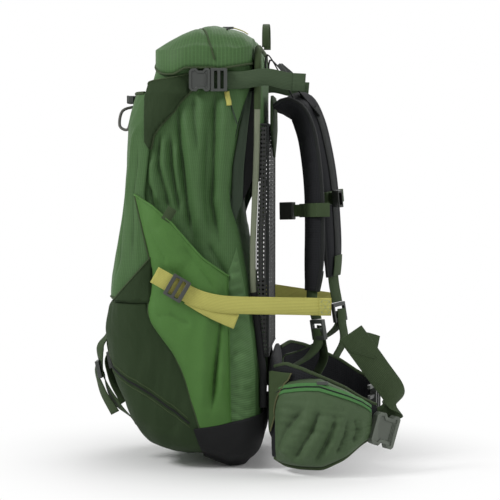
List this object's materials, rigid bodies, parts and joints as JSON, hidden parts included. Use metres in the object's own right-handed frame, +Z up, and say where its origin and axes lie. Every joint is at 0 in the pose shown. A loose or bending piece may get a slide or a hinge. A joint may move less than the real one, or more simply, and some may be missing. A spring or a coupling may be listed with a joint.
{
  "type": "hiking backpack",
  "caption": "Green hiking backpack with a lid, side and front pockets, padded shoulder straps, a tension mesh back and a hip belt with pockets.",
  "frame": {"origin": "on the flat underside, midway across and 26 mm behind its front edge", "axes": "+Z up, +X to the wearer's right, +Y toward the wearer"},
  "size_m": [0.4021, 0.4607, 0.6532],
  "materials": {
    "ripstop_green": "matt coated ripstop",
    "stretch_green": "smooth stretch weave",
    "olive_fabric": "matt weave",
    "black_fabric": "padded air mesh",
    "back_mesh": "open tension mesh",
    "olive_webbing": "ribbed webbing",
    "yellow_webbing": "ribbed webbing",
    "grey_plastic": "satin moulded",
    "frame_alloy": "satin",
    "elastic_cord": "braided"
  },
  "bodies": {
    "pack": {"main_bag": "ripstop_green", "front_pocket": "ripstop_green", "upper_back_panel": "ripstop_green", "side_pocket_right": "stretch_green", "side_pocket_left": "stretch_green", "lower_panel": "olive_fabric", "shoulder_yoke": "olive_fabric", "base_boot": "black_fabric", "lumbar_pad": "black_fabric", "back_mesh": "back_mesh", "load_lifter_right": "olive_webbing", "shoulder_webbing_right": "olive_webbing", "upper_strap_right": "olive_webbing", "pad_strap_right": "olive_webbing", "load_lifter_left": "olive_webbing", "shoulder_webbing_left": "olive_webbing", "upper_strap_left": "olive_webbing", "pad_strap_left": "olive_webbing", "lower_strap_right": "yellow_webbing", "lower_strap_left": "yellow_webbing", "cord_lock": "grey_plastic", "lifter_lock_right": "grey_plastic", "upper_buckle_female_right": "grey_plastic", "lifter_lock_left": "grey_plastic", "upper_buckle_female_left": "grey_plastic", "frame_hoop": "frame_alloy", "tool_cord": "elastic_cord"},
    "lid": {"lid": "ripstop_green"},
    "lid_zip": {"lid_zip_slider": "yellow_webbing"},
    "haul": {"haul_loop": "olive_webbing"},
    "cord_button": {"cord_lock_button": "grey_plastic"},
    "hip_right": {"hip_wing_right": "black_fabric", "hip_pocket_right": "olive_fabric", "belt_webbing_right": "olive_webbing", "hip_buckle_female": "grey_plastic"},
    "hip_left": {"hip_wing_left": "black_fabric", "hip_pocket_left": "olive_fabric", "belt_webbing_left": "olive_webbing", "hip_buckle_male": "grey_plastic"},
    "hip_zip_right": {"hip_zip_slider_right": "yellow_webbing"},
    "hip_zip_left": {"hip_zip_slider_left": "yellow_webbing"},
    "prong_upper": {"hip_buckle_prong_upper": "grey_plastic"},
    "prong_lower": {"hip_buckle_prong_lower": "grey_plastic"},
    "shoulder_right": {"shoulder_pad_right": "black_fabric", "shoulder_tab_right": "olive_webbing", "shoulder_lock_right": "grey_plastic"},
    "sternum_right": {"sternum_loop_right": "olive_webbing", "sternum_buckle_right": "grey_plastic"},
    "upper_release_right": {"upper_buckle_male_right": "grey_plastic"},
    "lower_lock_right": {"lower_lock_right": "grey_plastic"},
    "pad_lock_right": {"pad_lock_right": "grey_plastic"},
    "shoulder_left": {"shoulder_pad_left": "black_fabric", "shoulder_tab_left": "olive_webbing", "shoulder_lock_left": "grey_plastic"},
    "sternum_left": {"sternum_loop_left": "olive_webbing", "sternum_buckle_left": "grey_plastic"},
    "upper_release_left": {"upper_buckle_male_left": "grey_plastic"},
    "lower_lock_left": {"lower_lock_left": "grey_plastic"},
    "pad_lock_left": {"pad_lock_left": "grey_plastic"}
  },
  "joints": [
    {"name": "lid_hinge", "type": "hinge", "parent": "pack", "child": "lid", "pos_m": [0, 0.104, 0.624], "axis": [-1, 0, 0], "range_deg": [0, 75]},
    {"name": "lid_zip_slide", "type": "slide", "parent": "lid", "child": "lid_zip", "axis": [-0.9922, 0, 0.125], "range_m": [-0.008, 0.02]},
    {"name": "haul_loop_swing", "type": "hinge", "parent": "pack", "child": "haul", "pos_m": [0, 0.1215, 0.6162], "axis": [-1, 0, 0], "range_deg": [0, 70]},
    {"name": "cord_lock_press", "type": "slide", "parent": "pack", "child": "cord_button", "axis": [-1, 0, 0], "range_m": [0, 0.004], "stiffness_N_per_m": 400},
    {"name": "hip_hinge_right", "type": "hinge", "parent": "pack", "child": "hip_right", "pos_m": [0.1255, 0.1366, 0.085], "axis": [0, 0, -1], "range_deg": [-14, 20]},
    {"name": "hip_hinge_left", "type": "hinge", "parent": "pack", "child": "hip_left", "pos_m": [-0.1255, 0.1366, 0.085], "axis": [0, 0, 1], "range_deg": [-20, 14]},
    {"name": "hip_zip_slide_right", "type": "slide", "parent": "hip_right", "child": "hip_zip_right", "axis": [-0.1726, 0.9285, -0.3288], "range_m": [0, 0.02]},
    {"name": "hip_zip_slide_left", "type": "slide", "parent": "hip_left", "child": "hip_zip_left", "axis": [0.0582, 0.9426, -0.3288], "range_m": [0, 0.02]},
    {"name": "prong_upper_flex", "type": "hinge", "parent": "hip_left", "child": "prong_upper", "pos_m": [-0.10762, 0.28687, 0.0935], "axis": [0.3071, 0.9517, 0], "range_deg": [0, 6], "stiffness_Nm_per_rad": 1},
    {"name": "prong_lower_flex", "type": "hinge", "parent": "hip_left", "child": "prong_lower", "pos_m": [-0.10762, 0.28687, 0.0605], "axis": [0.3071, 0.9517, 0], "range_deg": [-6, 0], "stiffness_Nm_per_rad": 1},
    {"name": "shoulder_swing_right", "type": "hinge", "parent": "pack", "child": "shoulder_right", "pos_m": [0.05, 0.146, 0.52], "axis": [1, 0, 0], "range_deg": [-3, 30], "deforming": ["load_lifter_right", "shoulder_webbing_right"]},
    {"name": "sternum_slide_right", "type": "slide", "parent": "shoulder_right", "child": "sternum_right", "axis": [0.037, 0.0185, -0.9991], "range_m": [-0.01, 0.016]},
    {"name": "upper_release_slide_right", "type": "slide", "parent": "pack", "child": "upper_release_right", "axis": [0, 1, 0], "range_m": [0, 0.03], "deforming": ["upper_strap_right"]},
    {"name": "lower_lock_tilt_right", "type": "hinge", "parent": "pack", "child": "lower_lock_right", "pos_m": [0.167, -0.0091, 0.27404], "axis": [0, -0.5026, -0.8645], "range_deg": [0, 40]},
    {"name": "pad_lock_tilt_right", "type": "hinge", "parent": "pack", "child": "pad_lock_right", "pos_m": [0.062, -0.12652, 0.15168], "axis": [-1, 0, 0], "range_deg": [0, 40]},
    {"name": "shoulder_swing_left", "type": "hinge", "parent": "pack", "child": "shoulder_left", "pos_m": [-0.05, 0.146, 0.52], "axis": [1, 0, 0], "range_deg": [-10, 18], "deforming": ["load_lifter_left", "shoulder_webbing_left"]},
    {"name": "sternum_slide_left", "type": "slide", "parent": "shoulder_left", "child": "sternum_left", "axis": [-0.0356, 0.0845, -0.9958], "range_m": [-0.01, 0.016]},
    {"name": "upper_release_slide_left", "type": "slide", "parent": "pack", "child": "upper_release_left", "axis": [0, 1, 0], "range_m": [0, 0.03], "deforming": ["upper_strap_left"]},
    {"name": "lower_lock_tilt_left", "type": "hinge", "parent": "pack", "child": "lower_lock_left", "pos_m": [-0.167, -0.0091, 0.27404], "axis": [0, 0.5026, 0.8645], "range_deg": [0, 40]},
    {"name": "pad_lock_tilt_left", "type": "hinge", "parent": "pack", "child": "pad_lock_left", "pos_m": [-0.062, -0.12652, 0.15168], "axis": [-1, 0, 0], "range_deg": [0, 40]}
  ],
  "couplings": [
    {"joint": "prong_lower_flex", "follows": "prong_upper_flex", "ratio": -1}
  ]
}
